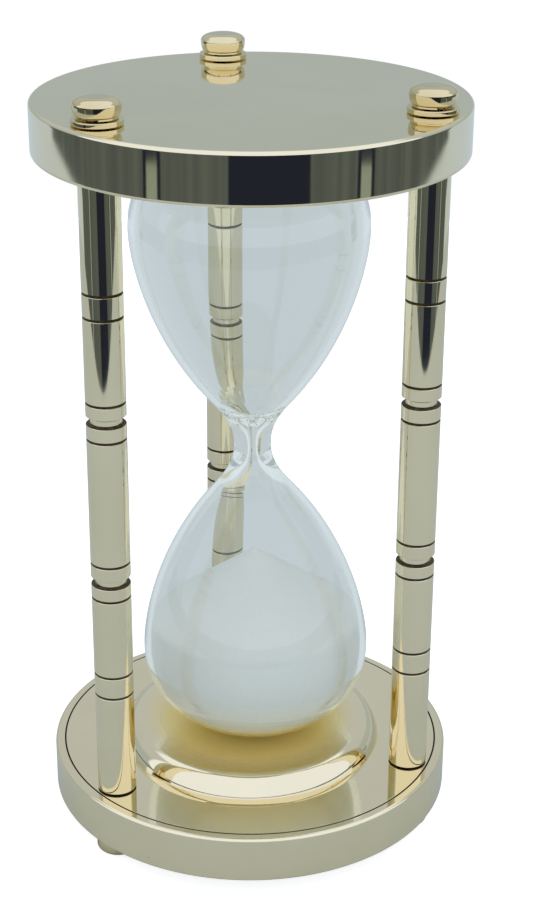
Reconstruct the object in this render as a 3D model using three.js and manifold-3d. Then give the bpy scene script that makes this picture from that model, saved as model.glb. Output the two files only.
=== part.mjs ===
// A polished brass hourglass: two round drums held apart by three turned pillars,
// with a one-piece blown glass and its sand between them.
// Units are millimetres and +Z is up. The origin is at the bottom centre, on the
// plane that the three foot nuts stand on.

import * as THREE from 'three';
import { mergeVertices } from 'three/addons/utils/BufferGeometryUtils.js';
import Module from 'manifold-3d';

// ---------------------------------------------------------------- driving sizes

const CLEARANCE = 0.25; // gap left between pieces that touch

const DRUM_RADIUS = 53.5;
const DRUM_HEIGHT = 12.6;
const CLEAR_HEIGHT = 163.8; // from the top of the base drum to the underside of the top drum

const SHELL_FLOOR = 2.2; // thickness of the shell's closed face
const RIM_INNER_RADIUS = 51.0; // the rim's inner wall, around the inset plate
const LEDGE_RADIUS = 48.9; // inner wall below the ledge that carries the plate
const EDGE_ROUND = 0.9;
const BOSS_RADIUS = 7;

const PLATE_RADIUS = 50.7;
const PLATE_THICKNESS = 2;
const STAND_RADIUS = 30.8; // crest of the raised stand under the glass
const STAND_EDGE_WIDTH = 4.5; // from the crest out to the stand's foot
const STAND_HEIGHT = 5.2;
const STAND_EDGE_END = 96.5; // degrees round from the foot, past the crest, to the saucer
const SAUCER_DEPTH = 2.03; // the stand's top is a saucer this much lower at its middle
const RECESS_RADIUS = 6.8; // hole in the saucer for the glass tip
const RECESS_FLOOR = 0.7; // depth of that hole's floor below the plate's face
const TOP_HOLE_RADIUS = 21; // hole in the top plate for the end of the upper bulb

const PILLAR_CIRCLE = 45.2;
const PILLAR_RADIUS = 5;
const PILLAR_CHAMFER = 0.35;
const PILLAR_HOLE_DEPTH = 9;
const PILLAR_AZIMUTH = { back: 90, left: 210, right: 330 }; // degrees from +X
const GROOVE_MIDDLE = 0.9; // the groove pattern's centre above the middle of the pillar
const THIN_GROOVES = [16.7, 26.2, 47.9, 53.9]; // either side of that centre
const THIN_GROOVE = { halfWidth: 0.35, depth: 0.45 };
const WIDE_GROOVES = [21.6];
const WIDE_GROOVE = { halfWidth: 1.15, depth: 1.1 };

const STUD_RADIUS = 2;
const STUD_HOLE_RADIUS = 2.3;
const STUD_IN_PILLAR = 8.6;

const NUT_TOP = 6.4; // from the drum's face to the end of the domed nut
const WASHER_THICKNESS = 1.2;
const WASHER_RADIUS = 6.15;
const WASHER_BEVEL = 0.3;
const NUT_NECK_RADIUS = 5;
const NUT_NECK_HEIGHT = 0.35;
const NUT_RADIUS = 5.75;
const NUT_FLAT_RADIUS = 2.6; // small flat on the end of the dome
const NUT_WIDEST = 0.6; // share of the dome's height below its widest ring
const NUT_LOWER_ROUND = 60; // degrees of round between the neck and the widest ring
const NUT_HOLE_DEPTH = 3.4;

const GLASS_MIDDLE = 98.5; // the neck's height above the base drum's lower edge
const GLASS_OFFSET = 0.5; // the glass stands this far towards +X,
const GLASS_LEAN = -0.9; // and leans this many degrees towards -X
const NECK_RADIUS = 4.83;
const BORE_RADIUS = 0.8;
const GLASS_WALL = 1.4;
const SHOULDER = { radius: 10.54, along: 12.4, slope: 48.7 }; // where neck and bulb meet
const BULB_RADIUS = 30.1;
const BULB_WIDEST = 58.2; // distance of the widest ring from the neck
const BULB_END = 82.3; // distance of the bulb's end from the neck

// How far each curve of the outline runs on straight before it bends.
const NECK_RUN = { outer: 2.1, inner: 7 };
const SHOULDER_RUN = { outer: 8.8, inner: 9 };
const CONE_RUN = 23.4; // from the shoulder up into the bulb
const WIDEST_RUN = { below: 7.7, above: 19.7 };
const END_RUN = 8.3;

const TIP_RADIUS = 4; // solid glass tip at the end of the lower bulb
const TIP_END = 85.3;
const TIP_BEVEL = 1;
const FILL_HOLE_RADIUS = 2.6;
const FILL_HOLE_LIP = 1; // flat glass around the filling hole

const BASE_PAD_RADIUS = 6.4;
const BASE_PAD_THICKNESS = 0.6;
const TOP_PAD_RADIUS = 12;
const PLUG_RADIUS = 2.3;

const SAND_PEAK = 30; // depth of the heap's peak below the neck
const SAND_SLOPE = 35; // degrees
const SAND_GAP = 0.3;

// Straight pieces around each kind of turned shape.
const DRUM_SIDES = 40;
const GLASS_SIDES = 24;
const PAD_SIDES = 20;
const SMALL_SIDES = 16;
const BOSS_SIDES = 12;
const STUD_SIDES = 10;
const HOLE_SIDES = 8;

// Straight pieces along each kind of curved outline.
const EDGE_STEPS = 3;
const STAND_STEPS = 8;
const SAUCER_STEPS = 4;
const NUT_LOWER_STEPS = 2;
const NUT_UPPER_STEPS = 5;
const BULB_STEPS = [4, 5, 6]; // the neck, the cone and the round end

// ---------------------------------------------------------------- heights that follow

const BASE_BOTTOM = NUT_TOP;
const BASE_TOP = BASE_BOTTOM + DRUM_HEIGHT;
const CAP_BOTTOM = BASE_TOP + CLEAR_HEIGHT;
const CAP_TOP = CAP_BOTTOM + DRUM_HEIGHT;
const NECK_HEIGHT = BASE_BOTTOM + GLASS_MIDDLE;

// ---------------------------------------------------------------- materials

const BRASS = { color: 0xc9bf95, roughness: 0.12, metalness: 1 };
const STEEL = { color: 0x9a9c9e, roughness: 0.35, metalness: 1 };
const GLASS = { color: 0xcfdde0, roughness: 0.03, metalness: 0, transparent: true, opacity: 0.3 };
const SAND = { color: 0xe4e6e4, roughness: 0.95, metalness: 0 };
const FELT = { color: 0x4b3d22, roughness: 1, metalness: 0 };
const CORK = { color: 0xb58d5f, roughness: 0.9, metalness: 0 };

const hourglass = new THREE.Group();

function addPiece(parent, name, geometry, finish) {
  const mesh = new THREE.Mesh(geometry, new THREE.MeshStandardMaterial(finish));
  mesh.name = name;
  parent.add(mesh);
  return mesh;
}

// ---------------------------------------------------------------- shape helpers

const wasm = await Module();
wasm.setup();

const point = (radius, height) => new THREE.Vector2(radius, height);
const degrees = THREE.MathUtils.degToRad;

// Turns a profile of (radius, height) points about the Z axis. The profile runs
// from the axis at the bottom, round the outside, to the axis at the top.
function turned(profile, segments) {
  return new THREE.LatheGeometry(profile, segments).rotateX(Math.PI / 2);
}

function arc(centreRadius, centreHeight, radiusX, radiusZ, startAngle, endAngle, steps) {
  const clockwise = endAngle < startAngle;
  const curve = new THREE.EllipseCurve(
    centreRadius, centreHeight, radiusX, radiusZ,
    degrees(startAngle), degrees(endAngle), clockwise,
  );
  return curve.getPoints(steps);
}

function cylinder(radius, bottom, top, segments) {
  const geometry = new THREE.CylinderGeometry(radius, radius, top - bottom, segments);
  return geometry.rotateX(Math.PI / 2).translate(0, 0, (bottom + top) / 2);
}

function toSolid(geometry) {
  const bare = geometry.clone();
  bare.deleteAttribute('normal');
  bare.deleteAttribute('uv');
  const merged = mergeVertices(bare, 1e-4);
  const index = merged.index.array;
  const triangles = [];
  for (let i = 0; i < index.length; i += 3) {
    const [a, b, c] = [index[i], index[i + 1], index[i + 2]];
    if (a !== b && b !== c && c !== a) {
      triangles.push(a, b, c);
    }
  }
  const vertices = Float32Array.from(merged.attributes.position.array);
  const mesh = new wasm.Mesh({ numProp: 3, vertProperties: vertices, triVerts: Uint32Array.from(triangles) });
  return new wasm.Manifold(mesh);
}

function toGeometry(solid) {
  const mesh = solid.getMesh();
  const geometry = new THREE.BufferGeometry();
  geometry.setAttribute('position', new THREE.BufferAttribute(mesh.vertProperties, 3));
  geometry.setIndex(new THREE.BufferAttribute(mesh.triVerts, 1));
  return geometry;
}

function pillarPlaces() {
  return Object.entries(PILLAR_AZIMUTH).map(([side, azimuth]) => ({
    side,
    x: PILLAR_CIRCLE * Math.cos(degrees(azimuth)),
    y: PILLAR_CIRCLE * Math.sin(degrees(azimuth)),
  }));
}

// A cylinder at each pillar's place, for bosses and stud holes.
function atPillars(radius, bottom, top, segments) {
  return pillarPlaces().map(({ x, y }) => (
    toSolid(cylinder(radius, bottom, top, segments).translate(x, y, 0))
  ));
}

// ---------------------------------------------------------------- drum shell

// A shallow cup with its closed face at height 0 and its mouth up. A ledge inside
// the rim and three bosses carry the inset plate.
function shellGeometry() {
  const ledge = DRUM_HEIGHT - PLATE_THICKNESS - CLEARANCE;
  const inner = DRUM_RADIUS - EDGE_ROUND;
  const profile = [
    point(0, 0),
    ...arc(inner, EDGE_ROUND, EDGE_ROUND, EDGE_ROUND, -90, 0, EDGE_STEPS),
    ...arc(inner, DRUM_HEIGHT - EDGE_ROUND, EDGE_ROUND, EDGE_ROUND, 0, 90, EDGE_STEPS),
    point(RIM_INNER_RADIUS, DRUM_HEIGHT),
    point(RIM_INNER_RADIUS, ledge),
    point(LEDGE_RADIUS, ledge),
    point(LEDGE_RADIUS, SHELL_FLOOR),
    point(0, SHELL_FLOOR),
  ];
  let solid = toSolid(turned(profile, DRUM_SIDES));
  for (const boss of atPillars(BOSS_RADIUS, SHELL_FLOOR / 2, ledge, BOSS_SIDES)) {
    solid = solid.add(boss);
  }
  return toGeometry(withStudHoles(solid));
}

// Cuts the three stud holes through a drum's shell or plate.
function withStudHoles(solid) {
  const holes = atPillars(STUD_HOLE_RADIUS, -DRUM_HEIGHT, DRUM_HEIGHT, HOLE_SIDES);
  return holes.reduce((left, hole) => left.subtract(hole), solid);
}

// ---------------------------------------------------------------- inset plates

// Both plates have their outer face at height 0. The base plate's middle rises into
// a stand with a rounded edge. Its top is a saucer, with a recess for the glass tip.
function basePlateGeometry() {
  const edge = arc(STAND_RADIUS, 0, STAND_EDGE_WIDTH, STAND_HEIGHT, 0, STAND_EDGE_END, STAND_STEPS);
  const rim = edge.at(-1);
  const saucer = [];
  for (let step = 1; step <= SAUCER_STEPS; step += 1) {
    const radius = THREE.MathUtils.lerp(rim.x, RECESS_RADIUS, step / SAUCER_STEPS);
    saucer.push(point(radius, rim.y - SAUCER_DEPTH * (1 - (radius / rim.x) ** 2)));
  }
  const profile = [
    point(0, -PLATE_THICKNESS),
    point(PLATE_RADIUS, -PLATE_THICKNESS),
    point(PLATE_RADIUS, 0),
    ...edge,
    ...saucer,
    point(RECESS_RADIUS, -RECESS_FLOOR),
    point(0, -RECESS_FLOOR),
  ];
  return toGeometry(withStudHoles(toSolid(turned(profile, DRUM_SIDES))));
}

// The top plate is flat, with a hole that the end of the upper bulb passes through.
function topPlateGeometry() {
  const profile = [
    point(TOP_HOLE_RADIUS, -PLATE_THICKNESS),
    point(PLATE_RADIUS, -PLATE_THICKNESS),
    point(PLATE_RADIUS, 0),
    point(TOP_HOLE_RADIUS, 0),
    point(TOP_HOLE_RADIUS, -PLATE_THICKNESS),
  ];
  return toGeometry(withStudHoles(toSolid(turned(profile, DRUM_SIDES))));
}

// ---------------------------------------------------------------- pillar

// A groove at a height, as the profile points going up past it.
function groove(height, { halfWidth, depth }, flat) {
  const floorEdges = flat ? [-halfWidth / 2, halfWidth / 2] : [0];
  return [
    point(PILLAR_RADIUS, height - halfWidth),
    ...floorEdges.map((offset) => point(PILLAR_RADIUS - depth, height + offset)),
    point(PILLAR_RADIUS, height + halfWidth),
  ];
}

function pillarGeometry() {
  const length = CLEAR_HEIGHT - 2 * CLEARANCE;
  const middle = length / 2 + GROOVE_MIDDLE;
  const grooves = [
    ...THIN_GROOVES.map((distance) => ({ distance, size: THIN_GROOVE, flat: false })),
    ...WIDE_GROOVES.map((distance) => ({ distance, size: WIDE_GROOVE, flat: true })),
  ];
  const bothSides = grooves.flatMap((entry) => [entry, { ...entry, distance: -entry.distance }]);
  bothSides.sort((first, second) => first.distance - second.distance);
  const profile = [
    point(0, PILLAR_HOLE_DEPTH),
    point(STUD_HOLE_RADIUS, PILLAR_HOLE_DEPTH),
    point(STUD_HOLE_RADIUS, 0),
    point(PILLAR_RADIUS - PILLAR_CHAMFER, 0),
    point(PILLAR_RADIUS, PILLAR_CHAMFER),
    ...bothSides.flatMap(({ distance, size, flat }) => groove(middle + distance, size, flat)),
    point(PILLAR_RADIUS, length - PILLAR_CHAMFER),
    point(PILLAR_RADIUS - PILLAR_CHAMFER, length),
    point(STUD_HOLE_RADIUS, length),
    point(STUD_HOLE_RADIUS, length - PILLAR_HOLE_DEPTH),
    point(0, length - PILLAR_HOLE_DEPTH),
  ];
  return turned(profile, SMALL_SIDES);
}

// ---------------------------------------------------------------- fastenings

// Washer, domed nut and stud share one frame: height 0 is the drum's face, and
// they point away from the drum, along +Z.
function washerGeometry() {
  const bottom = CLEARANCE;
  const top = bottom + WASHER_THICKNESS;
  const profile = [
    point(STUD_HOLE_RADIUS, bottom),
    point(WASHER_RADIUS, bottom),
    point(WASHER_RADIUS, top - WASHER_BEVEL),
    point(WASHER_RADIUS - WASHER_BEVEL, top),
    point(STUD_HOLE_RADIUS, top),
    point(STUD_HOLE_RADIUS, bottom),
  ];
  return turned(profile, SMALL_SIDES);
}

function nutGeometry() {
  const bottom = WASHER_THICKNESS + 2 * CLEARANCE;
  const domeBottom = bottom + NUT_NECK_HEIGHT;
  const domeHeight = NUT_TOP - domeBottom;
  const domeMiddle = domeBottom + domeHeight * NUT_WIDEST;
  const topRound = NUT_TOP - domeMiddle;
  const lowRound = domeMiddle - domeBottom;
  const holeTop = bottom + NUT_HOLE_DEPTH;
  const lowWidth = NUT_RADIUS - NUT_NECK_RADIUS;
  const topWidth = NUT_RADIUS - NUT_FLAT_RADIUS;
  const low = arc(NUT_NECK_RADIUS, domeMiddle, lowWidth, lowRound, -NUT_LOWER_ROUND, 0, NUT_LOWER_STEPS);
  const top = arc(NUT_FLAT_RADIUS, domeMiddle, topWidth, topRound, 0, 90, NUT_UPPER_STEPS);
  const profile = [
    point(0, holeTop),
    point(STUD_HOLE_RADIUS, holeTop),
    point(STUD_HOLE_RADIUS, bottom),
    point(NUT_NECK_RADIUS, bottom),
    point(NUT_NECK_RADIUS, domeBottom),
    ...low,
    ...top.slice(1),
    point(0, NUT_TOP),
  ];
  return turned(profile, SMALL_SIDES);
}

function studGeometry() {
  const nutBottom = WASHER_THICKNESS + 2 * CLEARANCE;
  const outer = nutBottom + NUT_HOLE_DEPTH - CLEARANCE;
  const inner = -DRUM_HEIGHT - STUD_IN_PILLAR;
  return cylinder(STUD_RADIUS, inner, outer, STUD_SIDES);
}

// ---------------------------------------------------------------- glass

// The side of one bulb as (radius, distance from the neck) points, from the neck
// to the axis at the bulb's end. The inside of the wall is the same outline drawn
// inwards by `inset`, running down into the narrow bore.
function bulbSide(wall, neckRadius, inset) {
  const slope = degrees(SHOULDER.slope);
  const direction = point(Math.cos(slope), Math.sin(slope));
  const inwards = point(-Math.sin(slope), Math.cos(slope));
  const up = point(0, 1);
  const out = point(1, 0);
  const neck = point(neckRadius, 0);
  const shoulder = point(SHOULDER.radius, SHOULDER.along).addScaledVector(inwards, inset);
  const widest = point(BULB_RADIUS - inset, BULB_WIDEST);
  const end = point(0, BULB_END - inset);
  const from = (start, axis, distance) => start.clone().addScaledVector(axis, distance);
  const curves = [
    [neck, from(neck, up, NECK_RUN[wall]), from(shoulder, direction, -SHOULDER_RUN[wall]), shoulder],
    [shoulder, from(shoulder, direction, CONE_RUN), from(widest, up, -WIDEST_RUN.below), widest],
    [widest, from(widest, up, WIDEST_RUN.above), from(end, out, END_RUN), end],
  ];
  return curves.flatMap((points, i) => {
    const line = new THREE.CubicBezierCurve(...points).getPoints(BULB_STEPS[i]);
    return i === 0 ? line : line.slice(1);
  });
}

const outerSide = () => bulbSide('outer', NECK_RADIUS, 0);
const innerSide = (inset) => bulbSide('inner', BORE_RADIUS, inset);

const mirrored = (side) => side.map(({ x, y }) => point(x, -y));

function glassGeometry() {
  const lowerOuter = mirrored(outerSide()).filter(({ x }) => x > TIP_RADIUS);
  const lowerInner = mirrored(innerSide(GLASS_WALL));
  const lipRadius = FILL_HOLE_RADIUS + FILL_HOLE_LIP;
  const upperOuter = outerSide().filter(({ x }) => x > lipRadius);
  const upperInner = innerSide(GLASS_WALL).filter(({ x, y }) => y < BULB_WIDEST || x > lipRadius);
  const profile = [
    point(0, -TIP_END),
    point(TIP_RADIUS - TIP_BEVEL, -TIP_END),
    point(TIP_RADIUS, -TIP_END + TIP_BEVEL),
    point(TIP_RADIUS, -BULB_END),
    ...lowerOuter.reverse(),
    ...upperOuter.slice(1),
    point(FILL_HOLE_RADIUS, BULB_END),
    point(FILL_HOLE_RADIUS, BULB_END - GLASS_WALL),
    ...upperInner.reverse(),
    ...lowerInner.slice(1),
  ];
  return turned(profile, GLASS_SIDES);
}

// The sand fills the lower bulb up to a cone with its peak below the neck.
function sandGeometry() {
  const rise = Math.tan(degrees(SAND_SLOPE));
  const wall = mirrored(innerSide(GLASS_WALL + SAND_GAP));
  const covered = wall.filter(({ x, y }) => -y > SAND_PEAK + x * rise);
  const contact = covered[0];
  const profile = [
    ...covered.reverse(),
    point(contact.x / 2, -SAND_PEAK - (contact.x / 2) * rise),
    point(0, -SAND_PEAK),
  ];
  return turned(profile, GLASS_SIDES);
}

// ---------------------------------------------------------------- assembly

const baseShell = shellGeometry();
addPiece(hourglass, 'base_shell', baseShell, BRASS).position.z = BASE_BOTTOM;
addPiece(hourglass, 'base_plate', basePlateGeometry(), BRASS).position.z = BASE_TOP;

const topDrum = new THREE.Group();
topDrum.position.z = CAP_TOP;
topDrum.rotation.y = Math.PI;
hourglass.add(topDrum);
addPiece(topDrum, 'top_shell', baseShell.clone(), BRASS);
addPiece(topDrum, 'top_plate', topPlateGeometry(), BRASS).position.z = DRUM_HEIGHT;

for (const { side, x, y } of pillarPlaces()) {
  const pillar = addPiece(hourglass, `pillar_${side}`, pillarGeometry(), BRASS);
  pillar.position.set(x, y, BASE_TOP + CLEARANCE);

  const topFastening = new THREE.Group();
  topFastening.position.set(x, y, CAP_TOP);
  const footFastening = new THREE.Group();
  footFastening.position.set(x, y, BASE_BOTTOM);
  footFastening.rotation.x = Math.PI;
  hourglass.add(topFastening, footFastening);
  for (const [end, fastening] of [['top', topFastening], ['foot', footFastening]]) {
    addPiece(fastening, `${end}_stud_${side}`, studGeometry(), STEEL);
    addPiece(fastening, `${end}_washer_${side}`, washerGeometry(), BRASS);
    addPiece(fastening, `${end}_nut_${side}`, nutGeometry(), BRASS);
  }
}

const glassGroup = new THREE.Group();
glassGroup.position.set(GLASS_OFFSET, 0, NECK_HEIGHT);
glassGroup.rotation.y = degrees(GLASS_LEAN);
hourglass.add(glassGroup);
addPiece(glassGroup, 'glass', glassGeometry(), GLASS);
addPiece(glassGroup, 'sand', sandGeometry(), SAND);
const plugTop = BULB_END - CLEARANCE / 2;
const plug = cylinder(PLUG_RADIUS, plugTop - GLASS_WALL, plugTop, BOSS_SIDES);
addPiece(glassGroup, 'fill_plug', plug, CORK);

// The felt lies under the glass tip in the base, and between the upper bulb and the
// closed face of the top drum.
const basePad = cylinder(BASE_PAD_RADIUS, 0, BASE_PAD_THICKNESS, PAD_SIDES);
addPiece(hourglass, 'base_pad', basePad, FELT).position.z = BASE_TOP - RECESS_FLOOR + CLEARANCE;
const topPadBottom = NECK_HEIGHT + BULB_END + 2 * CLEARANCE;
const topPadTop = CAP_TOP - SHELL_FLOOR - CLEARANCE;
addPiece(hourglass, 'top_pad', cylinder(TOP_PAD_RADIUS, topPadBottom, topPadTop, PAD_SIDES), FELT);

export default hourglass;
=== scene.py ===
"""The looks of a polished brass hourglass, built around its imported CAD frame.

Sizes are millimetres until a mesh is made, and metres from there on.
"""
import math
from math import cos, pi, radians, sin, tan

import bpy
import numpy as np
from mathutils import Matrix, Vector


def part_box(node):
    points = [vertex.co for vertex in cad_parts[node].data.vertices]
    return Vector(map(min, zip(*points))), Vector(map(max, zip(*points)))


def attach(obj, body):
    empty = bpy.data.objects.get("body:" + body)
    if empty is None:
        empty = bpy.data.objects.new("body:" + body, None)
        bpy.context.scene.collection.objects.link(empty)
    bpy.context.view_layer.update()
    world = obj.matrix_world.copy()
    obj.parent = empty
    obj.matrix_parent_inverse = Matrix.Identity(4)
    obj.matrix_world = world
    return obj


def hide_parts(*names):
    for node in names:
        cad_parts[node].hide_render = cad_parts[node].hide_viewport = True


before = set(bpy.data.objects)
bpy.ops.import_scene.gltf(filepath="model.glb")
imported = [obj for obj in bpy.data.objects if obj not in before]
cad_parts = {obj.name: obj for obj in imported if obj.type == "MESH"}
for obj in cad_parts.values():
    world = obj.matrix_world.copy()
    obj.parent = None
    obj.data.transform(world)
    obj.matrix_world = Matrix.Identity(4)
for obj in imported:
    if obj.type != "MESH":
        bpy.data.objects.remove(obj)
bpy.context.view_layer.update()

MM = 0.001


def box_mm(node):
    """The lowest and highest corners of a CAD node, in millimetres."""
    low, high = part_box(node)
    return low / MM, high / MM


# ------------------------------------------------------------------ sizes from the frame

SIDES = ("back", "left", "right")

base_low, base_high = box_mm("base_shell")
cap_low, cap_high = box_mm("top_shell")
plate_high = box_mm("base_plate")[1]
nut_high = box_mm("top_nut_back")[1]
plug_low, plug_high = box_mm("fill_plug")

DRUM_RADIUS = base_high.x
DRUM_HEIGHT = base_high.z - base_low.z
PLATE_RADIUS = plate_high.x
NUT_TOP = nut_high.z - cap_high.z


def pillar_place(side):
    """The centre of a pillar, as (x, y)."""
    low, high = box_mm(f"pillar_{side}")
    return (low.x + high.x) / 2, (low.y + high.y) / 2


# ------------------------------------------------------------------ sizes of the outlines

CLEARANCE = 0.25
SHELL_FLOOR = 2.2
RIM_INNER_RADIUS = 51.0
LEDGE_RADIUS = 48.9
EDGE_ROUND = 0.9
BOSS_RADIUS = 7.0
STUD_HOLE_RADIUS = 2.3
PLATE_THICKNESS = 2.0
PLATE_EDGE_ROUND = 0.12
STAND_RADIUS = 30.8  # crest of the raised stand under the glass
STAND_EDGE_WIDTH = 5.0
STAND_HEIGHT = 5.2
STAND_ROUND_BELOW = 4.0  # the edge's round is centred this far below the plate's face
STAND_EDGE_END = 94.2
SAUCER_DEPTH = 2.03
STAND_STEPS = 48
SAUCER_STEPS = 24
RECESS_RADIUS = 6.8
RECESS_FLOOR = 0.7
TOP_HOLE_RADIUS = 21.0

PILLAR_RADIUS = 5.0
PILLAR_CHAMFER = 0.35
PILLAR_HOLE_DEPTH = 9.0
GROOVE_MIDDLE = 0.9
THIN_GROOVES = (16.7, 26.2, 47.9, 53.9)
THIN_HALF_WIDTH = 0.35
THIN_DEPTH = 0.45
WIDE_GROOVES = (21.6,)
WIDE_HALF_WIDTH = 1.15
WIDE_DEPTH = 1.1

WASHER_THICKNESS = 1.2
WASHER_RADIUS = 6.15
NUT_NECK_RADIUS = 5.0
NUT_NECK_HEIGHT = 0.35
NUT_RADIUS = 5.75
NUT_FLAT_RADIUS = 2.6
NUT_HOLE_DEPTH = 3.4
NUT_WIDEST = 0.6  # share of the dome's height below its widest ring
STUD_RADIUS = 2.0
STUD_IN_PILLAR = 8.6
THREAD_PITCH = 0.7
THREAD_DEPTH = 0.38

NECK_ABOVE_BASE = 98.5
GLASS_OFFSET = 0.5
GLASS_LEAN = radians(-0.9)
NECK_RADIUS = 4.83
BORE_RADIUS = 0.8
GLASS_WALL = 1.4
SHOULDER_RADIUS = 10.54
SHOULDER_ALONG = 12.4
SHOULDER_SLOPE = radians(48.7)
BULB_RADIUS = 30.1
BULB_WIDEST = 58.2
BULB_END = 82.3
TIP_RADIUS = 4.0
TIP_END = 85.3
FILL_HOLE_RADIUS = 2.6
SAND_PEAK = 30.0
SAND_SLOPE = radians(35)
SAND_GAP = 0.3
HEAP_PEAK_ROUND = 3.0
HEAP_WANDER = 0.03  # how unevenly the heap's cone is drawn near its peak
HEAP_WANDER_RADIUS = 9
FELT_FRAY = 0.05

# ------------------------------------------------------------------ mesh helpers


def arc(centre, radii, start, end, steps):
    """Points of an elliptical arc, with its angles in degrees."""
    angles = [radians(start + (end - start) * i / steps) for i in range(steps + 1)]
    return [(centre[0] + radii[0] * cos(a), centre[1] + radii[1] * sin(a)) for a in angles]


def crisp(profile, closed, straight):
    """Adds a point close to each end of every stretch longer than straight, so that it shades flat."""
    margin = 0.06
    pairs = list(zip(profile, profile[1:]))
    if closed:
        pairs.append((profile[-1], profile[0]))
    points = []
    for (r0, h0), (r1, h1) in pairs:
        length = math.hypot(r1 - r0, h1 - h0)
        points.append((r0, h0))
        if length > straight:
            share = margin / length
            for t in (share, 1 - share):
                points.append((r0 + (r1 - r0) * t, h0 + (h1 - h0) * t))
    if not closed:
        points.append(profile[-1])
    return points


def lathe(name, profile, segments, closed=False, place=None, wobble=None, straight=0.3):
    """A solid turned about Z from (radius, height) points in millimetres.

    An open profile starts and ends on the axis. A closed one is a ring's section.
    Stretches longer than straight are flat, and the others are part of a curve.
    """
    points = crisp(profile, closed, straight)
    verts, rings = [], []
    for radius, height in points:
        if radius < 1e-6:
            rings.append([len(verts)])
            verts.append((0.0, 0.0, height))
            continue
        rings.append(list(range(len(verts), len(verts) + segments)))
        for i in range(segments):
            angle = 2 * pi * i / segments
            r = radius + (wobble(radius, height, angle) if wobble else 0)
            verts.append((r * cos(angle), r * sin(angle), height))
    faces = []
    last = len(rings) if closed else len(rings) - 1
    for k in range(last):
        low, high = rings[k], rings[(k + 1) % len(rings)]
        for i in range(segments):
            j = (i + 1) % segments
            if len(low) == 1 and len(high) == 1:
                continue
            if len(low) == 1:
                faces.append((low[0], high[j], high[i]))
            elif len(high) == 1:
                faces.append((low[i], low[j], high[0]))
            else:
                faces.append((low[i], low[j], high[j], high[i]))
    return solid(name, verts, faces, place)


def solid(name, verts, faces, place=None):
    """A new object with this mesh, given in millimetres and placed by a matrix in millimetres."""
    mesh = bpy.data.meshes.new(name)
    mesh.from_pydata(verts, [], faces)
    mesh.transform(Matrix.Scale(MM, 4) @ (place or Matrix.Identity(4)))
    mesh.update()
    piece = bpy.data.objects.new(name, mesh)
    bpy.context.scene.collection.objects.link(piece)
    return piece


def boolean(piece, tool, operation):
    """Joins or cuts a piece with a tool, and removes the tool."""
    modifier = piece.modifiers.new("boolean", "BOOLEAN")
    modifier.operation = operation
    modifier.solver = "EXACT"
    modifier.object = tool
    bpy.context.view_layer.update()
    depsgraph = bpy.context.evaluated_depsgraph_get()
    result = bpy.data.meshes.new_from_object(piece.evaluated_get(depsgraph))
    piece.modifiers.clear()
    piece.data = result
    bpy.data.objects.remove(tool)


def finish_piece(piece, nodes, material, angle=32):
    """Shades a piece, gives it its material, hangs it under the root body and hides the CAD nodes that
    it stands for.
    """
    piece.data.shade_smooth()
    piece.data.set_sharp_from_angle(angle=radians(angle))
    piece.data.materials.clear()
    piece.data.materials.append(material)
    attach(piece, "root")
    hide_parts(*nodes)
    return piece


def darken_with_patina_and_shade(piece, inside, axis=(0, 0)):
    """Darkens the faces whose centre's radius and height, in millimetres, are inside a place, with
    patina and painted shade.
    """
    piece.data.materials.append(PATINA_AND_SHADE)
    for face in piece.data.polygons:
        x, y, height = face.center / MM
        if inside(math.hypot(x - axis[0], y - axis[1]), height):
            face.material_index = 1


def turned_about_y(height):
    """Turns a piece over about Y, and puts its height 0 at this height."""
    return Matrix.Translation((0, 0, height)) @ Matrix.Rotation(pi, 4, "Y")


# ------------------------------------------------------------------ material helpers


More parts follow.
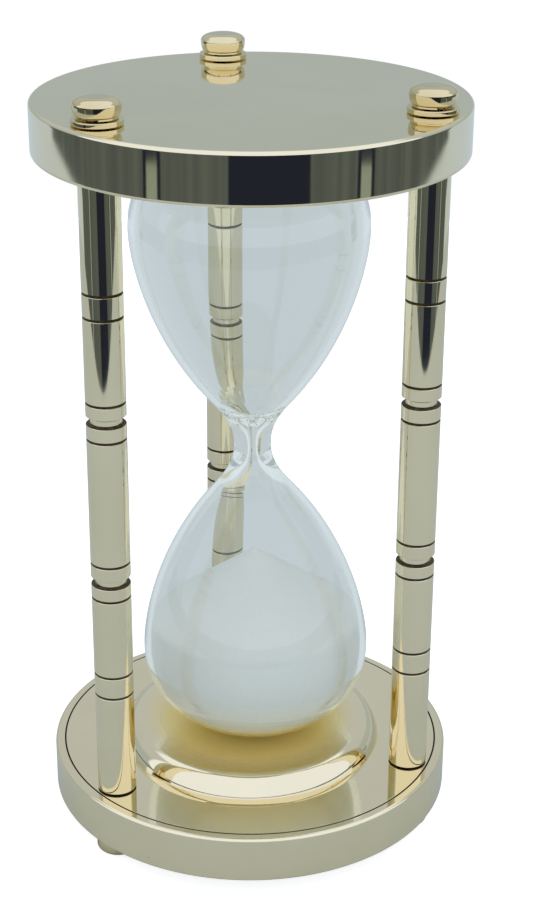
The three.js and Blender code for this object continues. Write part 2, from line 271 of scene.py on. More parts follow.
class Nodes:
    """The node tree of a material or world, with short calls to add nodes and links."""

    def __init__(self, owner, output_kind="ShaderNodeOutputMaterial"):
        self.owner = owner
        owner.use_nodes = True
        self.tree = owner.node_tree
        self.tree.nodes.clear()
        self.output = self.tree.nodes.new(output_kind)

    def add(self, kind, inputs=None, **settings):
        node = self.tree.nodes.new(kind)
        for key, value in settings.items():
            setattr(node, key, value)
        for key, value in (inputs or {}).items():
            self.set(node.inputs[key], value)
        return node

    def set(self, socket, value):
        if isinstance(value, bpy.types.NodeSocket):
            self.tree.links.new(value, socket)
        else:
            socket.default_value = value

    def math(self, operation, a, b=0.0, clamp=False):
        node = self.add("ShaderNodeMath", operation=operation, use_clamp=clamp)
        self.set(node.inputs[0], a)
        self.set(node.inputs[1], b)
        return node.outputs[0]

    def noise(self, scale, detail=3.0, rough=0.55, vector=None):
        node = self.add("ShaderNodeTexNoise")
        node.inputs["Scale"].default_value = scale
        node.inputs["Detail"].default_value = detail
        node.inputs["Roughness"].default_value = rough
        self.set(node.inputs["Vector"], vector or self.position())
        return node.outputs["Fac"]

    def position(self, stretch=None):
        coords = self.add("ShaderNodeTexCoord").outputs["Object"]
        if stretch is None:
            return coords
        mapping = self.add("ShaderNodeMapping", {"Vector": coords})
        mapping.inputs["Scale"].default_value = stretch
        return mapping.outputs[0]

    def radius(self):
        """Distance from the hourglass's axis, in metres."""
        level = self.position((1, 1, 0))
        return self.add("ShaderNodeVectorMath", {0: level}, operation="LENGTH").outputs["Value"]

    def height(self):
        """Height above the plane that the feet stand on, in metres."""
        return self.add("ShaderNodeSeparateXYZ", {0: self.position()}).outputs["Z"]

    def between(self, factor, low, high):
        """Maps a 0 to 1 factor to a number from low to high."""
        node = self.add("ShaderNodeMapRange")
        self.set(node.inputs["Value"], factor)
        node.inputs["To Min"].default_value = low
        node.inputs["To Max"].default_value = high
        return node.outputs[0]

    def window(self, factor, start, end):
        """0 below start, 1 above end, and smooth between."""
        node = self.add("ShaderNodeMapRange", interpolation_type="SMOOTHSTEP")
        self.set(node.inputs["Value"], factor)
        node.inputs["From Min"].default_value = start
        node.inputs["From Max"].default_value = end
        return node.outputs[0]

    def mix_colour(self, factor, a, b):
        node = self.add("ShaderNodeMix", data_type="RGBA")
        self.set(node.inputs[0], factor)
        self.set(node.inputs[6], a)
        self.set(node.inputs[7], b)
        return node.outputs[2]

    def bump(self, height, strength, distance, normal=None):
        node = self.add("ShaderNodeBump")
        self.set(node.inputs["Height"], height)
        node.inputs["Strength"].default_value = strength
        node.inputs["Distance"].default_value = distance
        if normal is not None:
            self.set(node.inputs["Normal"], normal)
        return node.outputs[0]

    def show(self, shader):
        self.tree.links.new(shader, self.output.inputs["Surface"])
        return self.owner


def material_nodes(name):
    return Nodes(bpy.data.materials.new(name))


POLISHED = ((0.89, 0.79, 0.56, 1), (0.86, 0.765, 0.53, 1))
# Painted reflection: this gold on the saucer stands in for the bulb's gold-lit underside mirrored in
# it.
SAUCER_REFLECTION_GOLD = (0.90, 0.72, 0.27, 1)
# A darker, more saturated copy of the polished brass for the nuts and washers: painted shade, standing
# in for the dimmer reflections they show.
DARKENED_NUT_TONES = ((0.80, 0.69, 0.42, 1), (0.70, 0.58, 0.33, 1))


def brass(name, smudge, wave, tones=POLISHED, wave_scale=55, saucer=False):
    """Polished brass: a mirror with faint smudges, a slow wave and a few dark patina specks.

    The saucer under the glass is duller and more golden: its gold is a painted reflection of the
    bulb's underside, lit gold by the brass below.
    """
    n = material_nodes(name)
    tone = n.window(n.noise(38, 4), 0.35, 0.65)
    colour = n.mix_colour(tone, *tones)
    specks = n.window(n.noise(620, 2, 0.5), 0.79, 0.82)
    haze = n.window(n.noise(90, 5, 0.6), 0.35, 0.75)
    rough = n.between(haze, 0.035, 0.035 + smudge)
    if saucer:
        crest = STAND_RADIUS * MM
        # Painted reflection: inside the crest the brass turns to the saucer gold and partly matt.
        inside = n.window(n.radius(), crest, crest - SAUCER_BLEND * MM)
        colour = n.mix_colour(inside, colour, SAUCER_REFLECTION_GOLD)
        rough = n.math("ADD", rough, n.math("MULTIPLY", inside, SAUCER_ROUGHNESS))
        metal = n.between(inside, 1.0, SAUCER_METAL)
    colour = n.mix_colour(specks, colour, (0.16, 0.11, 0.05, 1))
    wave_normal = n.bump(n.noise(wave_scale, 1, 0.4), 1.0, wave)
    shader = n.add("ShaderNodeBsdfPrincipled", {
        "Base Color": colour, "Metallic": 1.0, "Roughness": rough, "Normal": wave_normal,
    })
    if saucer:
        n.set(shader.inputs["Metallic"], metal)
    return n.show(shader.outputs[0])


def patina_and_shade():
    """The dark brown in grooves and joints: partly patina, partly painted shade where these hollows
    and gaps lie in shadow.
    """
    n = material_nodes("brass_patina_and_painted_shade")
    patches = n.window(n.noise(900, 4), 0.3, 0.7)
    colour = n.mix_colour(patches, (0.050, 0.037, 0.018, 1), (0.115, 0.085, 0.043, 1))
    rough = n.between(patches, 0.45, 0.65)
    shader = n.add("ShaderNodeBsdfPrincipled", {
        "Base Color": colour, "Metallic": 0.6, "Roughness": rough,
    })
    return n.show(shader.outputs[0])


def steel():
    """Zinc-plated steel of the hidden studs."""
    n = material_nodes("stud_steel")
    tone = n.window(n.noise(700, 4), 0.3, 0.7)
    colour = n.mix_colour(tone, (0.34, 0.35, 0.36, 1), (0.46, 0.47, 0.48, 1))
    rough = n.between(n.noise(1500), 0.28, 0.45)
    shader = n.add("ShaderNodeBsdfPrincipled", {
        "Base Color": colour, "Metallic": 1.0, "Roughness": rough,
    })
    return n.show(shader.outputs[0])


MOST_GLASS_BOUNCES = 6


def blown_glass():
    """Clear glass that lets lamps and diffuse light straight through to the sand.

    A ray that has bounced too often in the thick neck goes straight through as well.
    """
    n = material_nodes("blown_glass")
    wave = n.bump(n.noise(42, 2, 0.5, n.position((1, 1, 0.45))), 1.0, 0.00003)
    tint = n.mix_colour(n.noise(30), (0.995, 1.0, 1.0, 1), (0.985, 0.995, 1.0, 1))
    clear = n.add("ShaderNodeBsdfPrincipled", {
        "Base Color": tint, "Roughness": 0.0, "IOR": 1.5, "Transmission Weight": 1.0, "Normal": wave,
    })
    through = n.add("ShaderNodeBsdfTransparent", {"Color": (0.99, 0.995, 0.995, 1)})
    path = n.add("ShaderNodeLightPath")
    passes = n.math("MAXIMUM", path.outputs["Is Shadow Ray"], path.outputs["Is Diffuse Ray"])
    trapped = n.math("GREATER_THAN", path.outputs["Ray Depth"], MOST_GLASS_BOUNCES + 0.5)
    passes = n.math("MAXIMUM", passes, trapped)
    mix = n.add("ShaderNodeMixShader", {0: passes, 1: clear.outputs[0], 2: through.outputs[0]})
    return n.show(mix.outputs[0])


def fine_sand():
    """Fine white sand."""
    n = material_nodes("fine_sand")
    grain = n.noise(5200, 2, 0.7)
    drift = n.window(n.noise(60, 3), 0.3, 0.7)
    colour = n.mix_colour(drift, (0.745, 0.77, 0.73, 1), (0.775, 0.795, 0.75, 1))
    # Painted light: the lower sand is tinted warm cream, standing in for golden light bounced up from
    # the brass below.
    underside_glow = n.window(n.height(), 0.043, 0.027)
    colour = n.mix_colour(underside_glow, colour, (0.98, 0.93, 0.72, 1))
    colour = n.mix_colour(n.window(grain, 0.52, 0.75), colour, (0.62, 0.63, 0.57, 1))
    shader = n.add("ShaderNodeBsdfPrincipled", {
        "Base Color": colour, "Roughness": 0.9, "Normal": n.bump(grain, 0.5, 0.0001),
    })
    shader.inputs["Specular IOR Level"].default_value = 0.3
    return n.show(shader.outputs[0])


def felt():
    """Brown felt."""
    n = material_nodes("felt")
    fibres = n.noise(3000, 4, 0.7)
    colour = n.mix_colour(fibres, (0.075, 0.055, 0.03, 1), (0.16, 0.12, 0.07, 1))
    shader = n.add("ShaderNodeBsdfPrincipled", {
        "Base Color": colour, "Roughness": 1.0, "Normal": n.bump(fibres, 0.8, 0.0002),
    })
    shader.inputs["Sheen Weight"].default_value = 0.4
    return n.show(shader.outputs[0])


def cork():
    """Fine-grained cork."""
    n = material_nodes("cork")
    cells = n.add("ShaderNodeTexVoronoi", {"Vector": n.position(), "Scale": 1600.0})
    colour = n.mix_colour(cells.outputs["Distance"], (0.52, 0.33, 0.17, 1), (0.30, 0.17, 0.08, 1))
    flecks = n.window(n.noise(900, 3), 0.62, 0.68)
    colour = n.mix_colour(flecks, colour, (0.12, 0.06, 0.03, 1))
    shader = n.add("ShaderNodeBsdfPrincipled", {
        "Base Color": colour, "Roughness": 0.85, "Normal": n.bump(flecks, 0.6, 0.0001),
    })
    return n.show(shader.outputs[0])


SAUCER_BLEND = 11.0
SAUCER_ROUGHNESS = 0.2
SAUCER_METAL = 0.5

PLATE_BRASS = brass("plate_brass", smudge=0.035, wave=0.00002)
STAND_BRASS = brass("stand_brass", smudge=0.035, wave=0.00002, saucer=True)
TURNED_BRASS = brass("turned_brass", smudge=0.03, wave=0.00001)
# The nuts and washers get the darker brass tones: painted shade for their dimmer reflections.
NUT_BRASS = brass("nut_brass", smudge=0.06, wave=0.00006, tones=DARKENED_NUT_TONES, wave_scale=320)
PATINA_AND_SHADE = patina_and_shade()
STEEL = steel()
GLASS = blown_glass()
SAND = fine_sand()
FELT = felt()
CORK = cork()

# ------------------------------------------------------------------ drums


def at_pillars(radius, bottom, top, segments, place=None):
    """A cylinder at each pillar, as one object, for joining or cutting."""
    verts, faces = [], []
    for side in SIDES:
        x, y = pillar_place(side)
        start = len(verts)
        for height in (bottom, top):
            for i in range(segments):
                angle = 2 * pi * i / segments
                verts.append((x + radius * cos(angle), y + radius * sin(angle), height))
        for i in range(segments):
            j = (i + 1) % segments
            faces.append((start + i, start + j, start + segments + j, start + segments + i))
        faces.append(tuple(start + i for i in reversed(range(segments))))
        faces.append(tuple(start + segments + i for i in range(segments)))
    return solid("tool", verts, faces, place)


def shell_piece(name, node, place, mouth):
    """A drum's cup, with its closed face at height 0 and its mouth up, before it is placed."""
    ledge = DRUM_HEIGHT - PLATE_THICKNESS - CLEARANCE
    inner = DRUM_RADIUS - EDGE_ROUND
    lip = 0.15
    profile = [(0, 0)]
    profile += arc((inner, EDGE_ROUND), (EDGE_ROUND, EDGE_ROUND), -90, 0, 8)
    profile += arc((inner, DRUM_HEIGHT - EDGE_ROUND), (EDGE_ROUND, EDGE_ROUND), 0, 90, 8)
    profile += arc((RIM_INNER_RADIUS + lip, DRUM_HEIGHT - lip), (lip, lip), 90, 180, 3)
    profile += [(RIM_INNER_RADIUS, ledge), (LEDGE_RADIUS, ledge)]
    profile += [(LEDGE_RADIUS, SHELL_FLOOR), (0, SHELL_FLOOR)]
    piece = lathe(name, profile, 320, place=place)
    boolean(piece, at_pillars(BOSS_RADIUS, SHELL_FLOOR / 2, ledge, 48, place), "UNION")
    boolean(piece, at_pillars(STUD_HOLE_RADIUS, -1, DRUM_HEIGHT, 32, place), "DIFFERENCE")
    finish_piece(piece, [node], PLATE_BRASS)
    reach = PLATE_THICKNESS + 2 * CLEARANCE

    def around_plate(radius, height):
        return LEDGE_RADIUS < radius < RIM_INNER_RADIUS + lip / 2 and abs(height - mouth) < reach

    # Painted shade, with patina: the rim's inner wall and the ledge around the plate are darkened.
    darken_with_patina_and_shade(piece, around_plate)
    return piece


def base_plate_piece(place):
    """The inset base plate, whose middle rises into a stand with a saucer for a top."""
    low = STAND_ROUND_BELOW
    round_height = STAND_HEIGHT + low
    foot_angle = math.degrees(math.asin(low / round_height))
    radii = (STAND_EDGE_WIDTH, round_height)
    rim_edge = arc((STAND_RADIUS, -low), radii, foot_angle, STAND_EDGE_END, STAND_STEPS)
    rim_radius, rim_height = rim_edge[-1]

    def saucer(radius):
        return rim_height - SAUCER_DEPTH * (1 - (radius / rim_radius) ** 2)

    lip = 0.3
    edge = PLATE_EDGE_ROUND
    profile = [(0, -PLATE_THICKNESS), (PLATE_RADIUS, -PLATE_THICKNESS)]
    profile += arc((PLATE_RADIUS - edge, -edge), (edge, edge), 0, 90, 3)
    profile += rim_edge
    for i in range(1, SAUCER_STEPS + 1):
        radius = rim_radius + (RECESS_RADIUS + lip - rim_radius) * i / SAUCER_STEPS
        profile.append((radius, saucer(radius)))
    profile += arc((RECESS_RADIUS + lip, saucer(RECESS_RADIUS) - lip), (lip, lip), 100, 180, 5)
    profile += [(RECESS_RADIUS, -RECESS_FLOOR), (0, -RECESS_FLOOR)]
    return plate_piece("base_inlay", "base_plate", profile, False, place, STAND_BRASS)


def top_plate_piece(place):
    """The inset top plate: flat, with a hole for the end of the upper bulb."""
    edge = PLATE_EDGE_ROUND
    profile = [(TOP_HOLE_RADIUS, -PLATE_THICKNESS), (PLATE_RADIUS, -PLATE_THICKNESS)]
    profile += arc((PLATE_RADIUS - edge, -edge), (edge, edge), 0, 90, 3)
    profile += arc((TOP_HOLE_RADIUS + edge, -edge), (edge, edge), 90, 180, 3)
    return plate_piece("cap_inlay", "top_plate", profile, True, place, PLATE_BRASS)


def plate_piece(name, node, profile, closed, place, material):
    piece = lathe(name, profile, 320, closed=closed, place=place, straight=2.5)
    boolean(piece, at_pillars(STUD_HOLE_RADIUS, -DRUM_HEIGHT, DRUM_HEIGHT, 32, place), "DIFFERENCE")
    finish_piece(piece, [node], material)
    # Painted shade, with patina: the plate's edge in the gap around it is darkened.
    darken_with_patina_and_shade(piece, lambda radius, height: radius > PLATE_RADIUS - PLATE_EDGE_ROUND / 2)
    return piece


shell_piece("base_cup", "base_shell", Matrix.Translation((0, 0, base_low.z)), base_high.z)
shell_piece("cap_cup", "top_shell", turned_about_y(cap_high.z), cap_low.z)
base_plate_piece(Matrix.Translation((0, 0, base_high.z)))
top_plate_piece(turned_about_y(cap_low.z))

# ------------------------------------------------------------------ pillars


def groove(height, half_width, depth, floor_width):
    """A groove's points going up past it, with its edges broken slightly."""
    edge = 0.05
    return [
        (PILLAR_RADIUS, height - half_width - edge),
        (PILLAR_RADIUS - edge, height - half_width),
        (PILLAR_RADIUS - depth, height - floor_width),
        (PILLAR_RADIUS - depth, height + floor_width),
        (PILLAR_RADIUS - edge, height + half_width),
        (PILLAR_RADIUS, height + half_width + edge),
    ]


def pillar_piece(side):
    """A turned pillar, drilled at both ends."""
    low, high = box_mm(f"pillar_{side}")
    x, y = pillar_place(side)
    length = high.z - low.z
    middle = length / 2 + GROOVE_MIDDLE
    grooves = []
    for sign in (-1, 1):
        grooves += [(middle + sign * d, THIN_HALF_WIDTH, THIN_DEPTH, 0.08) for d in THIN_GROOVES]
        grooves += [(middle + sign * d, WIDE_HALF_WIDTH, WIDE_DEPTH, 0.6) for d in WIDE_GROOVES]
    profile = [(0, PILLAR_HOLE_DEPTH), (STUD_HOLE_RADIUS, PILLAR_HOLE_DEPTH), (STUD_HOLE_RADIUS, 0)]
    chamfer = PILLAR_CHAMFER
    profile += arc((PILLAR_RADIUS - chamfer, chamfer), (chamfer, chamfer), -90, 0, 5)
    for entry in sorted(grooves):
        profile += groove(*entry)
    profile += arc((PILLAR_RADIUS - chamfer, length - chamfer), (chamfer, chamfer), 0, 90, 5)
    profile += [(STUD_HOLE_RADIUS, length), (STUD_HOLE_RADIUS, length - PILLAR_HOLE_DEPTH)]
    profile += [(0, length - PILLAR_HOLE_DEPTH)]
    place = Matrix.Translation((x, y, low.z))
    piece = lathe(f"turned_pillar_{side}", profile, 128, place=place)
    finish_piece(piece, [f"pillar_{side}"], TURNED_BRASS)

    def in_groove_or_joint(radius, height):
        end_distance = min(height - low.z, high.z - height)
        groove_wall = PILLAR_RADIUS - WIDE_DEPTH + 0.05 < radius < PILLAR_RADIUS - 0.12
        return groove_wall or (end_distance < PILLAR_CHAMFER * 0.8 and radius > STUD_HOLE_RADIUS + 0.1)

    # Painted shade, with patina: the groove walls and the pillar's ends at the joints are darkened.
    darken_with_patina_and_shade(piece, in_groove_or_joint, (x, y))
    return piece


# ------------------------------------------------------------------ nuts, washers and studs


def washer_piece(name, node, place):
    bottom = CLEARANCE
    top = bottom + WASHER_THICKNESS
    bevel = 0.28
    profile = [(STUD_HOLE_RADIUS, bottom)]
    profile += arc((WASHER_RADIUS - bevel / 2, bottom + bevel / 2), (bevel / 2, bevel / 2), -90, 0, 4)
    profile += arc((WASHER_RADIUS - bevel, top - bevel), (bevel, bevel), 0, 90, 6)
    profile += [(STUD_HOLE_RADIUS, top)]
    piece = lathe(name, profile, 128, closed=True, place=place)
    return finish_piece(piece, [node], NUT_BRASS)


def nut_piece(name, node, place):
    bottom = WASHER_THICKNESS + 2 * CLEARANCE
    dome_bottom = bottom + NUT_NECK_HEIGHT
    dome_middle = dome_bottom + (NUT_TOP - dome_bottom) * NUT_WIDEST
    side = NUT_RADIUS - NUT_NECK_RADIUS
    hole_top = bottom + NUT_HOLE_DEPTH
    profile = [(0, hole_top), (STUD_HOLE_RADIUS, hole_top), (STUD_HOLE_RADIUS, bottom)]
    profile += [(NUT_NECK_RADIUS, bottom), (NUT_NECK_RADIUS, dome_bottom)]
    profile += arc((NUT_NECK_RADIUS, dome_middle), (side, dome_middle - dome_bottom), -60, 0, 10)
    dome = ((NUT_RADIUS - NUT_FLAT_RADIUS), NUT_TOP - dome_middle)
    profile += arc((NUT_FLAT_RADIUS, dome_middle), dome, 0, 90, 28)[1:]
    profile += [(0, NUT_TOP)]
    piece = lathe(name, profile, 128, place=place)
    return finish_piece(piece, [node], NUT_BRASS)


def stud_piece(name, node, place):
    """A threaded stud: a helical thread, with its ends closed."""
    outer = WASHER_THICKNESS + CLEARANCE + NUT_HOLE_DEPTH
    inner = -DRUM_HEIGHT - STUD_IN_PILLAR
    segments, per_turn = 24, 6
    rings = int((outer - inner) / THREAD_PITCH * per_turn)
    verts = []
    for k in range(rings + 1):
        height = inner + (outer - inner) * k / rings
        for i in range(segments):
            turn = (height / THREAD_PITCH - i / segments) % 1
            fade = min(1, 4 * min(k, rings - k) / rings * 4)
            radius = STUD_RADIUS - THREAD_DEPTH * abs(2 * turn - 1) * (0.4 + 0.6 * fade)
            angle = 2 * pi * i / segments
            verts.append((radius * cos(angle), radius * sin(angle), height))
    faces = []
    for k in range(rings):
        for i in range(segments):
            j = (i + 1) % segments
            low, high = k * segments, (k + 1) * segments
            faces.append((low + i, low + j, high + j, high + i))
    faces.append(tuple(reversed(range(segments))))
    faces.append(tuple(rings * segments + i for i in range(segments)))
    return finish_piece(solid(name, verts, faces, place), [node], STEEL, 50)


for side in SIDES:
    pillar_piece(side)
    x, y = pillar_place(side)
    top = Matrix.Translation((x, y, cap_high.z))
    foot = Matrix.Translation((x, y, base_low.z)) @ Matrix.Rotation(pi, 4, "X")
    for end, place in (("top", top), ("foot", foot)):
        washer_piece(f"{end}_ring_{side}", f"{end}_washer_{side}", place)
        nut_piece(f"{end}_domed_nut_{side}", f"{end}_nut_{side}", place)
        stud_piece(f"{end}_threaded_stud_{side}", f"{end}_stud_{side}", place)

# ------------------------------------------------------------------ glass and sand


def bezier(points, steps):
    """Points of a cubic curve."""
    p0, p1, p2, p3 = (np.array(p, float) for p in points)
    curve = []
    for i in range(steps + 1):
        t = i / steps
        u = 1 - t
        curve.append(tuple(u**3 * p0 + 3 * u * u * t * p1 + 3 * u * t * t * p2 + t**3 * p3))
    return curve


NECK_RUN = {"outer": 2.1, "inner": 9.0}
SHOULDER_RUN = {"outer": 8.8, "inner": 6.5}
CONE_RUN = 23.4
WIDEST_RUN_BELOW = 7.7
WIDEST_RUN_ABOVE = 19.7
END_RUN = 8.3


def bulb_side(wall, neck_radius, inset):
    """One bulb's side as (radius, distance from the neck), from the neck to the axis at its end.

    The inside of the wall is the same outline drawn inwards by inset, down into the bore.
    """
    slope = np.array((cos(SHOULDER_SLOPE), sin(SHOULDER_SLOPE)))
    inwards = np.array((-slope[1], slope[0]))
    shoulder = np.array((SHOULDER_RADIUS, SHOULDER_ALONG)) + inset * inwards
    widest = np.array((BULB_RADIUS - inset, BULB_WIDEST))
    end = np.array((0, BULB_END - inset))
    up = np.array((0, 1))
    out = np.array((1, 0))
    neck = np.array((neck_radius, 0))
    first = (neck, neck + NECK_RUN[wall] * up, shoulder - SHOULDER_RUN[wall] * slope, shoulder)
    second = (shoulder, shoulder + CONE_RUN * slope, widest - WIDEST_RUN_BELOW * up, widest)
    third = (widest, widest + WIDEST_RUN_ABOVE * up, end + END_RUN * out, end)
    return bezier(first, 28) + bezier(second, 36)[1:] + bezier(third, 44)[1:]


def outer_side():
    return bulb_side("outer", NECK_RADIUS, 0)


def inner_side(inset):
    return bulb_side("inner", BORE_RADIUS, inset)


def mirrored(side):
    return [(r, -h) for r, h in side]


RIPPLE_ABOVE_NECK = 11.2
RIPPLE_HEIGHT = 1.3
RIPPLE_DEPTH = 0.022


def ripples(radius, height, angle):
    """Small blowing ripples in a band above the neck."""
    band = math.exp(-(((height - RIPPLE_ABOVE_NECK) / RIPPLE_HEIGHT) ** 2))
    crinkle = sin(13 * angle + 1.1 * height)
    crinkle += 0.7 * sin(22 * angle - 1.7 * height)
    crinkle += 0.5 * sin(37 * angle)
    return RIPPLE_DEPTH * band * crinkle


def glass_piece(place):
    """The two bulbs as one solid wall, with the glass tip below and the filling hole above."""
    lip = GLASS_WALL / 2
    hole = FILL_HOLE_RADIUS + lip
    lower_outer = [p for p in mirrored(outer_side()) if p[0] > TIP_RADIUS + 0.4]
    upper_outer = [p for p in outer_side() if p[0] > hole + 0.4]
    upper_inner = [p for p in inner_side(GLASS_WALL) if p[1] < BULB_WIDEST or p[0] > hole + 0.4]
    profile = [(0, -TIP_END)]
    profile += arc((TIP_RADIUS - 1, -TIP_END + 1), (1, 1), -90, 0, 8)
    profile += list(reversed(lower_outer))
    profile += upper_outer[1:]
    profile += arc((hole, BULB_END - lip), (lip, lip), 90, 270, 12)
    profile += list(reversed(upper_inner))
    profile += mirrored(inner_side(GLASS_WALL))[1:]
    piece = lathe("blown_glass_bulbs", profile, 224, place=place, wobble=ripples, straight=9)
    return finish_piece(piece, ["glass"], GLASS, 60)


def sand_piece(place):
    """The sand, with a soft cone on top whose foot meets the glass."""
    wall = mirrored(inner_side(GLASS_WALL + SAND_GAP))
    rise = tan(SAND_SLOPE)
    covered = [p for p in wall if -p[1] > SAND_PEAK + p[0] * rise]
    contact = covered[0]
    steps = 40
    profile = list(reversed(covered))
    for i in range(1, steps + 1):
        radius = contact[0] * (1 - i / steps)
        soft = math.hypot(radius, HEAP_PEAK_ROUND)
        soft -= HEAP_PEAK_ROUND * math.exp(-radius / HEAP_PEAK_ROUND)
        height = -SAND_PEAK - soft * rise
        profile.append((radius, max(height, contact[1])))

    def heap(radius, height, angle):
        lift = HEAP_WANDER * radius * math.exp(-((radius / HEAP_WANDER_RADIUS) ** 2))
        return lift * sin(3 * angle + 0.6)

    piece = lathe("white_sand", profile, 160, place=place, wobble=heap, straight=9)
    return finish_piece(piece, ["sand"], SAND, 60)


def plug_piece(place):
    low = BULB_END - CLEARANCE / 2 - GLASS_WALL
    high = BULB_END - CLEARANCE / 2
    radius = (plug_high.y - plug_low.y) / 2
    edge = 0.2
    profile = [(0, low)]
    profile += arc((radius - edge, low + edge), (edge, edge), -90, 0, 4)
    profile += arc((radius - edge, high - edge), (edge, edge), 0, 90, 4)
    profile += [(0, high)]
    piece = lathe("cork_plug", profile, 64, place=place)
    return finish_piece(piece, ["fill_plug"], CORK)


def pad_piece(name, node):
    low, high = box_mm(node)
    thickness = high.z - low.z
    radius = high.x
    edge = min(thickness * 0.45, 0.6)
    profile = [(0, 0)]
    profile += arc((radius - edge - 0.1, edge), (edge, edge), -90, 0, 6)
    profile += arc((radius - edge - 0.1, thickness - edge), (edge, edge), 0, 90, 6)
    profile += [(0, thickness)]

    def fray(radius_here, height, angle):
        return FELT_FRAY * sin(23 * angle) * sin(7 * angle + 1) if radius_here > radius - 1 else 0

    piece = lathe(name, profile, 128, place=Matrix.Translation((0, 0, low.z)), wobble=fray)
    return finish_piece(piece, [node], FELT, 60)


glass_place = Matrix.Translation((GLASS_OFFSET, 0, base_low.z + NECK_ABOVE_BASE))
glass_place = glass_place @ Matrix.Rotation(GLASS_LEAN, 4, "Y")
glass_piece(glass_place)
sand_piece(glass_place)
plug_piece(glass_place)
pad_piece("base_felt_disc", "base_pad")
pad_piece("cap_felt_disc", "top_pad")

# ------------------------------------------------------------------ camera

VIEW_AZIMUTH = radians(9.96)
VIEW_PITCH = radians(23.57)
VIEW_ROLL = radians(0.308)
VIEW_DISTANCE = 0.45787  # along the ground from the hourglass's axis
VIEW_RIGHT = 0.00414
VIEW_ABOVE_BASE = 0.29285
VIEW_LENS = 74.76

ahead = Vector((sin(VIEW_AZIMUTH), cos(VIEW_AZIMUTH), 0))
right = Vector((cos(VIEW_AZIMUTH), -sin(VIEW_AZIMUTH), 0))
level_up = Vector((0, 0, 1))


def add_camera():
    data = bpy.data.cameras.new("camera")
    data.lens = VIEW_LENS
    data.sensor_width = 36
    data.clip_start = 0.01
    camera = bpy.data.objects.new("camera", data)
    bpy.context.scene.collection.objects.link(camera)
    forward = ahead * cos(VIEW_PITCH) - level_up * sin(VIEW_PITCH)
    up = ahead * sin(VIEW_PITCH) + level_up * cos(VIEW_PITCH)
    x_axis = right * cos(VIEW_ROLL) + up * sin(VIEW_ROLL)
    y_axis = up * cos(VIEW_ROLL) - right * sin(VIEW_ROLL)
    place = -ahead * VIEW_DISTANCE + right * VIEW_RIGHT
    place.z = base_low.z * MM + VIEW_ABOVE_BASE
    turn = Matrix((x_axis, y_axis, -forward)).transposed().to_4x4()
    camera.matrix_world = Matrix.Translation(place) @ turn
    bpy.context.scene.camera = camera


add_camera()

# ------------------------------------------------------------------ floor and light

PAPER = (0.517, 0.585, 0.603, 1)
PAPER_AGAIN = (0.69, 0.77, 0.79, 1)  # the same, seen after a mirror
SAND_LIGHT = (0.73, 0.80, 0.86, 1)
TABLE_HALF_WIDTH = 560
TABLE_HALF_DEPTH = 472
TABLE_BEHIND = 100  # the table's middle is this far behind the hourglass
TABLE_SIDES = 96
TABLE_TONES = ((0.515, 0.545, 0.515, 1), (0.54, 0.57, 0.54, 1))
TABLE_WHITENING = 0.8  # white added to the table where the camera looks straight at it


def add_floor():
    """A pale oval table. Beyond its edge the room is dark."""
    n = material_nodes("pale_floor")
    path = n.add("ShaderNodeLightPath")
    mottle = n.mix_colour(n.noise(14), *TABLE_TONES)
    paper = n.add("ShaderNodeBsdfPrincipled", {"Base Color": mottle, "Roughness": 0.9})
    paper.inputs["Specular IOR Level"].default_value = 0.0
    white = n.add("ShaderNodeEmission", {"Color": (1, 1, 1, 1), "Strength": TABLE_WHITENING})
    bright = n.add("ShaderNodeAddShader", {0: paper.outputs[0], 1: white.outputs[0]})
    seen = n.add("ShaderNodeEmission", {"Color": paper_colour(n, path), "Strength": 1.0})
    first = n.add("ShaderNodeMixShader", {
        0: path.outputs["Is Camera Ray"], 1: paper.outputs[0], 2: bright.outputs[0],
    })
    second = n.add("ShaderNodeMixShader", {
        0: through_glass(n, path), 1: first.outputs[0], 2: seen.outputs[0],
    })
    edge = []
    for i in range(TABLE_SIDES):
        angle = 2 * pi * i / TABLE_SIDES
        across = TABLE_HALF_WIDTH * cos(angle)
        away = TABLE_BEHIND + TABLE_HALF_DEPTH * sin(angle)
        edge.append(right * across + ahead * away)
    floor = solid("floor", edge, [tuple(range(TABLE_SIDES))])
    floor.data.materials.append(n.show(second.outputs[0]))


def paper_colour(n, path):
    """What the glass shows behind it, which is brighter after a mirror."""
    mirrored_once = n.math("GREATER_THAN", path.outputs["Glossy Depth"], 0.5)
    return n.mix_colour(mirrored_once, PAPER, PAPER_AGAIN)


def through_glass(n, path):
    """1 for a ray that has come from the camera through glass."""
    direct = n.math("LESS_THAN", path.outputs["Diffuse Depth"], 0.5)
    return n.math("MULTIPLY", path.outputs["Is Transmission Ray"], direct)


SKY = (0.95, 1.03, 1.22, 1)  # the soft light in front and overhead
WALL_LOW = (0.435, 0.507, 0.547, 1)
WALL_HIGH = (0.547, 0.60, 0.662, 1)
FAR_FLOOR = (0.083, 0.10, 0.11, 1)
FAR_FLOOR_PALE = (0.11, 0.132, 0.138, 1)
STREAK_SCALE = 9.0
GAP = (0.016, 0.0205, 0.039, 1)  # the dark space behind the camera
WALL_RISE = (0.26, 0.42)  # heights between which the wall turns to its upper colour
SIDE_LIGHT = (0.70, 0.76)  # heights above which the light reaches all the way round
SKY_SOFTNESS = 0.15
SKY_SIDE_SOFTNESS = radians(4)
PANEL_SOFTNESS = radians(0.6)
STRIP_SOFTNESS = 0.003
HORIZON_SOFTNESS = 0.01
REAR = (0.54, 0.64, 0.75, 1)  # the pale space behind the table
REAR_START = radians(98)
REAR_SOFTNESS = radians(5)
REAR_SLANT = 14.54  # how fast the edge of that space moves round with height
REAR_HEIGHTS = (-0.27, -0.24)
REAR_PIVOT = -0.264
INSIDE_GLASS_PAPER = 0.95  # how far the paper colour hides the room inside the glass
STRIP = (0.27, 0.335, 0.31, 1)  # two pale chair backs beyond the table
SKY_BACK = 0.9
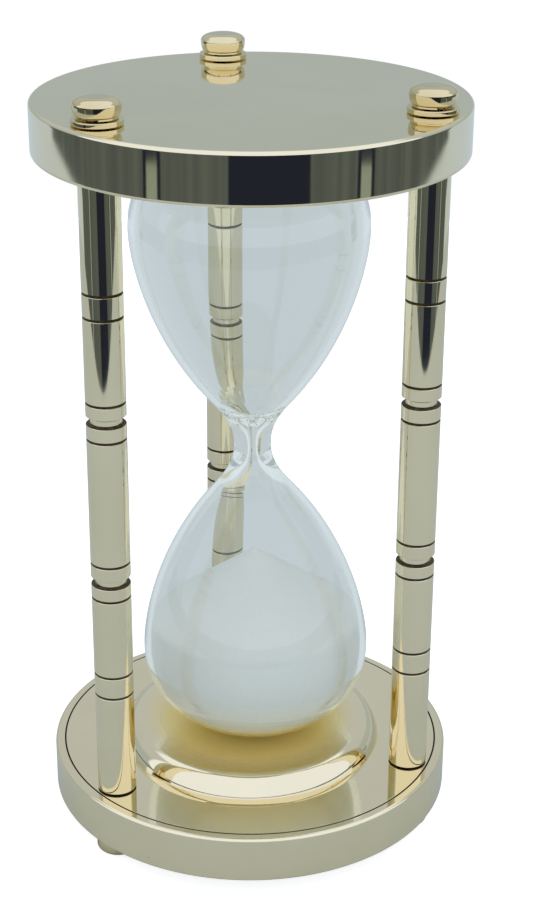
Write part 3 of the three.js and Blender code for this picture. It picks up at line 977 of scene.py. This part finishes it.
SKY_SIDE = radians(94)
GAP_MIDDLE = radians(9.7)
GAP_HALF = radians(20.6)
STRIPS = (radians(-50.5), radians(60.5))
STRIP_HALF = radians(3.0)
STRIP_OUTLINE = radians(4.9)
STRIP_TOP = -0.252


def add_world():
    """A big soft light overhead and in front, a blue-grey wall behind, and a dark room below.

    Rays that come through the glass see plain paper instead, and the camera sees white.
    """
    world = bpy.data.worlds.new("studio")
    bpy.context.scene.world = world
    n = Nodes(world, "ShaderNodeOutputWorld")
    coords = n.add("ShaderNodeTexCoord").outputs["Generated"]

    def part(vector):
        dot = n.add("ShaderNodeVectorMath", operation="DOT_PRODUCT")
        n.set(dot.inputs[0], coords)
        dot.inputs[1].default_value = vector
        return dot.outputs["Value"]

    across, away, height = part(right), part(ahead), part(level_up)
    azimuth = n.math("ARCTAN2", across, n.math("MULTIPLY", away, -1.0))
    turn = n.math("ABSOLUTE", azimuth)

    def panel(middle, half):
        """1 inside an upright panel, 0 outside it."""
        offset = n.math("ABSOLUTE", n.math("SUBTRACT", azimuth, middle))
        return n.window(offset, half + PANEL_SOFTNESS, half - PANEL_SOFTNESS)

    slope = n.math("DIVIDE", away, n.math("MAXIMUM", height, 0.001))
    overhead = n.window(slope, SKY_BACK + SKY_SOFTNESS, SKY_BACK)
    in_front = n.window(turn, SKY_SIDE + SKY_SIDE_SOFTNESS, SKY_SIDE)
    side_top = n.window(height, *SIDE_LIGHT)
    sky = n.math("MULTIPLY", overhead, n.math("MAXIMUM", in_front, side_top))
    wall = n.mix_colour(n.window(height, *WALL_RISE), WALL_LOW, WALL_HIGH)
    upper = n.mix_colour(sky, wall, SKY)

    streak_sizes = {"W": azimuth, "Scale": STREAK_SCALE, "Detail": 3.0}
    streaks = n.add("ShaderNodeTexNoise", streak_sizes, noise_dimensions="1D")
    lower = n.mix_colour(n.window(streaks.outputs["Fac"], 0.35, 0.7), FAR_FLOOR, FAR_FLOOR_PALE)
    lower = n.mix_colour(panel(GAP_MIDDLE, GAP_HALF), lower, GAP)
    low = n.window(height, STRIP_TOP, STRIP_TOP - STRIP_SOFTNESS)
    for middle in STRIPS:
        lower = n.mix_colour(panel(middle, STRIP_OUTLINE), lower, GAP)
        lower = n.mix_colour(n.math("MULTIPLY", panel(middle, STRIP_HALF), low), lower, STRIP)
    rear_height = n.math("MINIMUM", n.math("MAXIMUM", height, REAR_HEIGHTS[0]), REAR_HEIGHTS[1])
    slant = n.math("SUBTRACT", rear_height, REAR_PIVOT)
    rear_turn = n.math("SUBTRACT", turn, n.math("MULTIPLY", slant, REAR_SLANT))
    behind = n.window(rear_turn, REAR_START, REAR_START + REAR_SOFTNESS)
    lower = n.mix_colour(behind, lower, REAR)
    horizon = n.window(height, -HORIZON_SOFTNESS, HORIZON_SOFTNESS)
    env = n.mix_colour(horizon, lower, upper)

    path = n.add("ShaderNodeLightPath")
    inside_glass = n.window(path.outputs["Transmission Depth"], 0.4, 0.6)
    paper = paper_colour(n, path)
    scattered = n.math("GREATER_THAN", path.outputs["Diffuse Depth"], 0.5)
    paper = n.mix_colour(scattered, paper, SAND_LIGHT)
    env = n.mix_colour(n.math("MULTIPLY", inside_glass, INSIDE_GLASS_PAPER), env, paper)
    env = n.mix_colour(through_glass(n, path), env, paper)
    env = n.mix_colour(path.outputs["Is Camera Ray"], env, (1, 1, 1, 1))
    background = n.add("ShaderNodeBackground", {"Color": env, "Strength": 1.0})
    n.show(background.outputs[0])


LAMP_SIZE = 0.7
LAMP_ENERGY = 1.5
LAMP_IN_FRONT = 0.75
LAMP_RIGHT = 0.1
LAMP_HEIGHT = 0.85
LAMP_AIM = Vector((0, 0, 0.06))


def add_soft_light():
    """A wide soft lamp overhead and in front, which only shows on matt surfaces."""
    data = bpy.data.lights.new("soft_light", "AREA")
    data.shape = "DISK"
    data.size = LAMP_SIZE
    data.energy = LAMP_ENERGY
    lamp = bpy.data.objects.new("soft_light", data)
    place = -ahead * LAMP_IN_FRONT + right * LAMP_RIGHT + level_up * LAMP_HEIGHT
    lamp.location = place
    lamp.rotation_euler = (LAMP_AIM - place).to_track_quat("-Z", "Y").to_euler()
    lamp.visible_camera = False
    lamp.visible_glossy = False
    lamp.visible_transmission = False
    bpy.context.scene.collection.objects.link(lamp)


add_floor()
add_world()
add_soft_light()

scene = bpy.context.scene
scene.view_settings.view_transform = "Standard"
scene.cycles.max_bounces = 24
scene.cycles.transmission_bounces = 16
scene.cycles.glossy_bounces = 8
scene.cycles.transparent_max_bounces = 16
